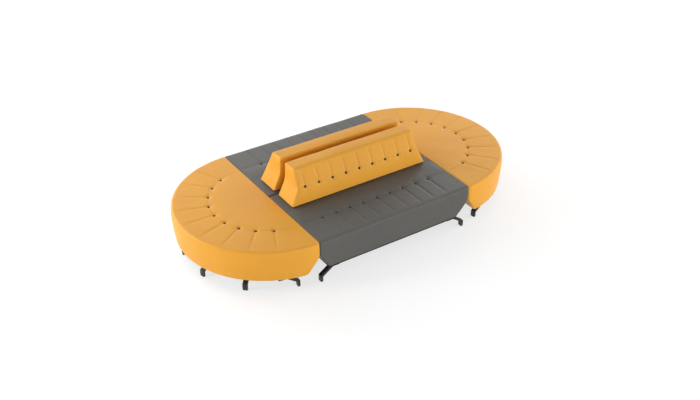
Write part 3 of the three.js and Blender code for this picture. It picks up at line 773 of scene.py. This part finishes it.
class Finish:
    """A procedural material, whose colour and roughness vary about plain values."""

    def __init__(self, name, colour, roughness, specular=0.5, sheen=0.0, metallic=0.0):
        self.material = bpy.data.materials.new(name)
        self.material.use_nodes = True
        self.tree = self.material.node_tree
        self.shader = self.tree.nodes["Principled BSDF"]
        self.colour, self.roughness = colour, roughness
        for socket, value in (
            ("Specular IOR Level", specular),
            ("Sheen Weight", sheen),
            ("Sheen Roughness", SHEEN_ROUGHNESS),
            ("Metallic", metallic),
        ):
            self.shader.inputs[socket].default_value = value
        self.where = node(self.tree, "ShaderNodeTexCoord").outputs["Object"]
        self.tones, self.gloss, self.relief = [], [], None

    def link(self, out, into):
        self.tree.links.new(out, into)

    def texture(self, kind, scale, **settings):
        made = node(self.tree, kind, **settings)
        self.link(self.where, made.inputs["Vector"])
        made.inputs["Scale"].default_value = scale
        return made

    def noise(self, scale, detail):
        made = self.texture("ShaderNodeTexNoise", scale)
        made.inputs["Detail"].default_value = detail
        return made.outputs[0]

    def cells(self, scale):
        made = self.texture("ShaderNodeTexVoronoi", scale, feature="SMOOTH_F1")
        made.inputs["Smoothness"].default_value = CELL_SMOOTHNESS
        return made.outputs["Distance"]

    def bands(self, scale, direction):
        return self.texture("ShaderNodeTexWave", scale, bands_direction=direction).outputs[1]

    def attribute(self, name):
        return node(self.tree, "ShaderNodeAttribute", attribute_name=name).outputs["Fac"]

    def worn(self):
        """1 on the edges that stand out, broken up by a noise, and 0 off them."""
        edge = node(self.tree, "ShaderNodeNewGeometry").outputs["Pointiness"]
        broken = ranged(self.tree, self.noise(60, 3), 0.35, 0.65, 0.3, 1)
        return combined(self.tree, "MULTIPLY", ranged(self.tree, edge, *WORN_EDGE, 0, 1), broken)

    def varied(self, value, low, high, tone):
        """Scales the colour with a value: by tone[0] where it is low, tone[1] where it is high."""
        self.tones.append(ranged(self.tree, value, low, high, *tone))

    def mottled(self, scale, detail, tone):
        """Scales the colour with a noise."""
        self.varied(self.noise(scale, detail), *NOISE_RANGE, tone)

    def glossed(self, value, low, high, change):
        """Makes the surface rougher with a value, or glossier by changes below 0."""
        self.gloss.append(ranged(self.tree, value, low, high, *change))

    def smudged(self, scale, detail, change):
        """The same with a noise."""
        self.glossed(self.noise(scale, detail), *NOISE_RANGE, change)

    def bump(self, height, distance):
        made = node(self.tree, "ShaderNodeBump")
        made.inputs["Distance"].default_value = distance
        self.link(height, made.inputs["Height"])
        if self.relief is not None:
            self.link(self.relief, made.inputs["Normal"])
        self.relief = made.outputs["Normal"]

    def done(self):
        tone = self.tones[0]
        for more in self.tones[1:]:
            tone = combined(self.tree, "MULTIPLY", tone, more)
        scaled = node(self.tree, "ShaderNodeVectorMath", operation="SCALE")
        scaled.inputs[0].default_value = self.colour
        self.link(tone, scaled.inputs["Scale"])
        self.link(scaled.outputs[0], self.shader.inputs["Base Color"])
        rough = self.roughness
        for value in self.gloss:
            rough = combined(self.tree, "ADD", rough, value)
        self.link(rough, self.shader.inputs["Roughness"])
        self.link(self.relief, self.shader.inputs["Normal"])
        return self.material


GRAIN_SCALE = 620  # cells of the cover's grain to the metre, nearly


def leatherette(name, colour, roughness, specular=0.3, sheen=0.03):
    """Coated upholstery cloth with an embossed grain and worn rims, with painted shade darkening
    its folds and round its buttons.
    """
    finish = Finish(name, colour, roughness, specular, sheen)
    grain = finish.cells(GRAIN_SCALE)
    worn = finish.worn()
    finish.mottled(2.2, 3, (0.965, 1.035))
    finish.mottled(75, 3, (0.98, 1.02))
    finish.varied(grain, 0.05, 0.6, (1.03, 0.93))
    # painted shade: darker in the folds and round the buttons
    finish.varied(finish.attribute("fold"), 0, 1, (1, 0.87))
    finish.varied(worn, 0, 1, (1, 1.05))
    finish.smudged(35, 3, (-0.04, 0.04))
    finish.glossed(worn, 0, 1, (0, -0.05))
    finish.bump(finish.noise(26, 4), 0.0011)
    finish.bump(finish.noise(GRAIN_SCALE * 0.35, 3), 0.00012)
    finish.bump(grain, -0.00016)
    return finish.done()


def thread(name, colour):
    """Twisted sewing thread."""
    finish = Finish(name, colour, 0.6, 0.35, 0.1)
    finish.mottled(900, 2, (0.88, 1.1))
    finish.smudged(300, 2, (-0.05, 0.05))
    finish.bump(finish.bands(420, "DIAGONAL"), 0.0001)
    return finish.done()


def powder_coat(name, colour):
    """Fine satin powder coat on steel, a little polished on its edges."""
    finish = Finish(name, colour, 0.46, 0.38)
    worn = finish.worn()
    finish.mottled(6, 3, (0.92, 1.08))
    finish.mottled(800, 2, (0.95, 1.05))
    finish.varied(worn, 0, 1, (1, 1.5))
    finish.smudged(45, 3, (-0.04, 0.05))
    finish.glossed(worn, 0, 1, (0, -0.1))
    finish.bump(finish.noise(650, 2), 0.00009)
    return finish.done()


def moulded(name, colour):
    """Moulded plastic with a fine spark-eroded grain."""
    finish = Finish(name, colour, 0.55, 0.4)
    finish.mottled(14, 3, (0.9, 1.12))
    finish.varied(finish.worn(), 0, 1, (1, 1.6))
    finish.smudged(90, 3, (-0.05, 0.05))
    finish.bump(finish.noise(1500, 2), 0.00006)
    return finish.done()


def dust_cloth(name, colour):
    """Black non-woven cloth, stapled over a plywood board."""
    finish = Finish(name, colour, 0.9, 0.2, 0.1)
    weave = combined(finish.tree, "MULTIPLY", finish.bands(170, "X"), finish.bands(170, "Y"))
    finish.varied(weave, 0, 1, (0.75, 1.25))
    finish.mottled(8, 4, (0.9, 1.1))
    finish.smudged(120, 3, (-0.04, 0.04))
    finish.bump(finish.noise(500, 4), 0.0002)
    finish.bump(weave, 0.00025)
    return finish.done()


def zinc(name, colour):
    """Dark zinc plate."""
    finish = Finish(name, colour, 0.36, metallic=1.0)
    finish.mottled(180, 4, (0.8, 1.15))
    finish.smudged(400, 3, (-0.08, 0.1))
    finish.bump(finish.noise(900, 2), 0.00004)
    return finish.done()


orange = leatherette("orange_leatherette", (0.82, 0.375, 0.034), 0.5)
grey = leatherette("grey_leatherette", (0.095, 0.093, 0.086), 0.5)
button_leather = leatherette("button_leatherette", (0.02, 0.017, 0.015), 0.55, 0.25, 0.0)
orange_thread = thread("orange_thread", (0.7, 0.31, 0.04))
grey_thread = thread("grey_thread", (0.06, 0.058, 0.054))
steel = powder_coat("black_powder_coat", (0.016, 0.016, 0.016))
plastic = moulded("black_plastic", (0.01, 0.01, 0.01))
board = dust_cloth("black_dust_cloth", (0.012, 0.012, 0.012))
screw_zinc = zinc("zinc", (0.35, 0.35, 0.36))

UP = np.array((0, 0, 1.0))
BACK_FACING = np.array((0, -np.cos(BACK_LEAN), np.sin(BACK_LEAN)))
BACK_BAND = BACK_TOP - BACK_RIM - BACK_SEAM
STEPS = np.arange(BUTTONS) - (BUTTONS - 1) / 2  # the buttons' places, counted from the middle one
TURNS = STEPS * END_STEP

bench_mesh = detailed(subdivided(inflated(bench_seat(), "bench")), bench_frame, UP, BAND)
end_mesh = detailed(subdivided(inflated(end_seat(), "end")), end_frame, UP, BAND, END_CREASE)
back_mesh = detailed(subdivided(inflated(backrest(), "back")), back_frame, BACK_FACING, BACK_BAND)

seat_low = SEAT_HEIGHT - BENCH_DEPTHS[0]
seam_y = -back_profile(np.array(BACK_SEAM))[0]
back_low = np.array((0, seam_y, SEAT_HEIGHT + BACK_SEAM)) - BACK_FACING * BACK_DEPTHS[0]
bench_buttons = buttons_mesh("bench_buttons", [
    ((k * PITCH, -SEAM_RADIUS, seat_low), UP) for k in STEPS
])
end_buttons = buttons_mesh("end_buttons", [
    ((SEAM_RADIUS * math.cos(t), SEAM_RADIUS * math.sin(t), seat_low), UP) for t in TURNS
])
back_buttons = buttons_mesh("back_buttons", [
    (back_low + (k * PITCH, 0, 0), BACK_FACING) for k in STEPS
])


def between_buttons(places, end, first):
    """Stretches of a seam from -end to end, which stop short of each button."""
    edges = np.r_[-end, places, end]
    return [
        (low + first * (low > -end), high - first * (high < end))
        for low, high in zip(edges, edges[1:])
    ]


def on_arc(radius, turns):
    """Points of a circle on top of an end seat."""
    return np.stack([radius * np.cos(turns), radius * np.sin(turns), SEAT_HEIGHT + 0 * turns], 1)


band_stitches = np.array((FIRST_STITCH, BAND * STITCHES_END))  # from the seam to the rim
bench_lines = [
    [(x, -SEAM_RADIUS, SEAT_HEIGHT) for x in ends]
    for ends in between_buttons(STEPS * PITCH, HALF_BENCH - FLAT_RIM, FIRST_STITCH)
]
bench_lines += [
    [(k * PITCH, -SEAM_RADIUS - out, SEAT_HEIGHT) for out in band_stitches] for k in STEPS
]
seam_end = math.acos((FLAT_RIM + LAST_STITCH) / SEAM_RADIUS)
end_lines = [
    on_arc(SEAM_RADIUS, np.linspace(*ends, 24))
    for ends in between_buttons(TURNS, seam_end, FIRST_STITCH / SEAM_RADIUS)
]
end_lines += [on_arc(SEAM_RADIUS + band_stitches, np.full(2, turn)) for turn in TURNS]
back_lines = [
    [(x, seam_y, SEAT_HEIGHT + BACK_SEAM) for x in ends]
    for ends in between_buttons(STEPS * PITCH, BACK_HALF[1] - BACK_RIM, FIRST_STITCH)
]
heights = BACK_SEAM + np.linspace(FIRST_STITCH, BACK_BAND * BACK_STITCHES_END, 12)
reach = back_profile(heights)[0]
back_lines += [np.stack([k * PITCH + 0 * heights, -reach, SEAT_HEIGHT + heights], 1) for k in STEPS]
bench_stitches = stitches_mesh("bench_stitches", bench_mesh, bench_lines, UP)
end_stitches = stitches_mesh("end_stitches", end_mesh, end_lines, UP)
back_stitches = stitches_mesh("back_stitches", back_mesh, back_lines, BACK_FACING)

SETS = (
    ("bench", "_seat", ("front", "rear"), bench_mesh, bench_buttons, bench_stitches, "grey_cover"),
    ("backrest", "", ("front", "rear"), back_mesh, back_buttons, back_stitches, "orange_cover"),
    ("end", "_seat", ("right", "left"), end_mesh, end_buttons, end_stitches, "orange_cover"),
)
COVERS = {"grey_cover": (grey, grey_thread), "orange_cover": (orange, orange_thread)}
for k, (kind, suffix, sides, cover_mesh, button_mesh, stitch_mesh, slot) in enumerate(SETS):
    leather, yarn = COVERS[slot]
    for j, side in enumerate(sides):
        name = f"{side}_{kind}"
        cover = place(f"{name}_cover", cover_mesh, side, leather, seed=10 * k + j)
        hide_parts(name + suffix)
        place(f"{name}_buttons", button_mesh, side, button_leather)
        place(f"{name}_stitches", stitch_mesh, side, yarn)

EDGE = 0.0012  # radius of the edges of steel and plastic pieces
SHARP = math.radians(35)
FLAT = math.radians(1)  # faces that meet flatter than this are joined


def edged(name, material):
    """Puts a copy with rounded edges in a CAD node's place."""
    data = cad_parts[name].data.copy()
    work = bmesh.new()
    work.from_mesh(data)
    bmesh.ops.remove_doubles(work, verts=work.verts, dist=1e-6)
    bmesh.ops.dissolve_limit(work, angle_limit=FLAT, verts=work.verts, edges=work.edges)
    sharp = [
        edge for edge in work.edges if len(edge.link_faces) == 2 and edge.calc_face_angle() > SHARP
    ]
    bmesh.ops.bevel(
        work, geom=sharp, offset=EDGE, segments=2, profile=0.5, affect="EDGES", clamp_overlap=True
    )
    work.to_mesh(data)
    work.free()
    data.shade_smooth()
    data.set_sharp_from_angle(angle=SHARP)
    piece = dressed(f"{name}_edged", data, material)
    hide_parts(name)


# Screws: pan heads with a round socket, under the foot plates and link plates
HEAD = (  # radius, and height over the plate's underside
    (0.0055, 0.0002), (0.0055, -0.0012), (0.0047, -0.0023), (0.003, -0.0028), (0.0021, -0.0028),
    (0.0018, -0.0013),
)
HEAD_SIDES = 24
FOOT_HOLES = (0.1222, 0.1582)  # from the middle of a foot's leg inwards
FOOT_PLATE_LOW, LINK_LOW = 0.1084, 0.1094  # undersides of the plates
BENCH_FEET = [(x, y, 0 if x > 0 else math.pi) for y in (-0.754, -0.065) for x in (-0.7095, 0.7095)]
END_FOOT = 0.746  # from an end seat's middle to the feet of its round side
END_TURNS = np.radians((-14, 14, -45, 45))
END_FEET = [(END_FOOT * math.cos(t), END_FOOT * math.sin(t), t) for t in END_TURNS]
END_FEET += [(0.1522, side * 0.706, side * math.radians(174)) for side in (-1, 1)]
LINK_HOLES = [(x, y, LINK_LOW) for x in (-0.38, 0.38) for y in (-0.063, 0.063)]


def foot_holes(feet):
    """Places of the screws under the plates of feet, each given by its place and its splay."""
    return [
        (x - reach * math.cos(turn), y - reach * math.sin(turn), FOOT_PLATE_LOW)
        for x, y, turn in feet
        for reach in FOOT_HOLES
    ]


def screws(name, places, where):
    """Screw heads, moved to their place on the sofa."""
    skin = Skin()
    turn = around(HEAD_SIDES)
    for x, y, z in places:
        rings = [skin.add(x + r * np.cos(turn), y + r * np.sin(turn), z + rise) for r, rise in HEAD]
        for near, far in zip(rings, rings[1:]):
            skin.wall(near, far)
        skin.fan(rings[0], int(skin.add(x, y, z + HEAD[0][1])))
        skin.fan(rings[-1][::-1], int(skin.add(x, y, z + HEAD[-1][1])))
    place(name, skin.mesh("screws"), where, screw_zinc)


for side, kind, feet in (
    ("front", "bench", BENCH_FEET), ("rear", "bench", BENCH_FEET),
    ("right", "end", END_FEET), ("left", "end", END_FEET),
):
    screws(f"{side}_{kind}_screws", foot_holes(feet), side)
screws("link_screws", LINK_HOLES, "front")

for name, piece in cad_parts.items():
    piece.data.materials.clear()
    piece.data.materials.append(board)
    if "glide" in name:
        edged(name, plastic)
    elif any(word in name for word in ("foot", "stem", "link")):
        edged(name, steel)


# Floor, world, lamps and camera
FLOOR_HALF = 30
FLOOR_COLOUR = 0.8
FLOOR_SHOWN_COLOUR, FLOOR_GLOW = 0.42, 0.68  # these keep the shadow on a white ground
FLOOR_NEAR, FLOOR_FAR = 4, 8  # from the middle, between which the shown floor turns all white
HORIZON_LIGHT, SKY_LIGHT, SKY_FROM = 0.81, 0.06, 0.5  # the last on a sphere of radius 1
LAMP_DISTANCE = 7
LAMPS = (  # azimuth and elevation in degrees, size, and power in watts
    (-105, 10, 1.2, 125), (-60, 10, 4, 40), (-15, 10, 4, 175), (30, 10, 4, 150), (75, 10, 4, 95),
    (-150, 25, 4, 220), (-105, 25, 1.2, 76), (75, 25, 4, 95), (120, 25, 4, 86), (165, 25, 4, 75),
    (-150, 60, 4, 90),
)
CAMERA = (-33.6105, 32.6887)  # azimuth and elevation in degrees
CAMERA_AIM = Vector((-0.2097, -0.4173, 0.400))
CAMERA_DISTANCE, LENS = 7.8128, 49.026


def shown_ray(tree):
    """1 for the rays that show the surroundings: of the camera, off gloss and through glass."""
    path = node(tree, "ShaderNodeLightPath")
    seen = path.outputs["Is Camera Ray"]
    for kind in ("Is Glossy Ray", "Is Transmission Ray"):
        seen = combined(tree, "MAXIMUM", seen, path.outputs[kind])
    return seen


def facing_away(azimuth, elevation):
    """The way from the sofa to a lamp or view, by azimuth and elevation in degrees."""
    a, e = math.radians(azimuth), math.radians(elevation)
    return Vector((math.sin(a) * math.cos(e), -math.cos(a) * math.cos(e), math.sin(e)))


def aimed(thing, away):
    """Turns a lamp or the camera towards the sofa."""
    thing.rotation_mode = "QUATERNION"
    thing.rotation_quaternion = away.to_track_quat("Z", "Y")


floor_mesh = bpy.data.meshes.new("floor")
corners = [(x * FLOOR_HALF, y * FLOOR_HALF, 0) for x, y in ((-1, -1), (1, -1), (1, 1), (-1, 1))]
floor_mesh.from_pydata(corners, [], [(0, 1, 2, 3)])
floor = shown("floor", floor_mesh)
floor_material = bpy.data.materials.new("floor")
floor_mesh.materials.append(floor_material)
floor_material.use_nodes = True
tree = floor_material.node_tree
shader = tree.nodes["Principled BSDF"].inputs
shader["Roughness"].default_value = 0.9
shader["Specular IOR Level"].default_value = 0
shader["Emission Color"].default_value = (1, 1, 1, 1)
ray = shown_ray(tree)
length = node(tree, "ShaderNodeVectorMath", operation="LENGTH")
tree.links.new(node(tree, "ShaderNodeTexCoord").outputs["Object"], length.inputs[0])
distance = length.outputs["Value"]
shown_tone = ranged(tree, distance, FLOOR_NEAR, FLOOR_FAR, FLOOR_SHOWN_COLOUR, 0)
shown_glow = ranged(tree, distance, FLOOR_NEAR, FLOOR_FAR, FLOOR_GLOW, 1)
tree.links.new(ranged(tree, ray, 0, 1, FLOOR_COLOUR, shown_tone), shader["Base Color"])
tree.links.new(ranged(tree, ray, 0, 1, 0, shown_glow), shader["Emission Strength"])

world = bpy.data.worlds.new("studio")
bpy.context.scene.world = world
world.use_nodes = True
tree = world.node_tree
parts = node(tree, "ShaderNodeSeparateXYZ")
tree.links.new(node(tree, "ShaderNodeTexCoord").outputs["Generated"], parts.inputs[0])
sky = ranged(tree, parts.outputs[2], 0, SKY_FROM, HORIZON_LIGHT, SKY_LIGHT)
background = tree.nodes["Background"].inputs
background["Color"].default_value = (1, 1, 1, 1)
tree.links.new(ranged(tree, shown_ray(tree), 0, 1, sky, 1), background["Strength"])

for azimuth, elevation, size, power in LAMPS:
    data = bpy.data.lights.new(f"lamp_{azimuth}_{elevation}", "AREA")
    data.size = size
    data.energy = power
    light = shown(data.name, data)
    light.visible_camera = False
    away = facing_away(azimuth, elevation)
    light.location = away * LAMP_DISTANCE
    aimed(light, away)

camera_data = bpy.data.cameras.new("camera")
camera_data.sensor_width = 36
camera_data.lens = LENS
camera_data.clip_end = 200
camera = shown("camera", camera_data)
away = facing_away(*CAMERA)
camera.location = CAMERA_AIM + away * CAMERA_DISTANCE
aimed(camera, away)
bpy.context.scene.camera = camera
bpy.context.scene.view_settings.view_transform = "Standard"
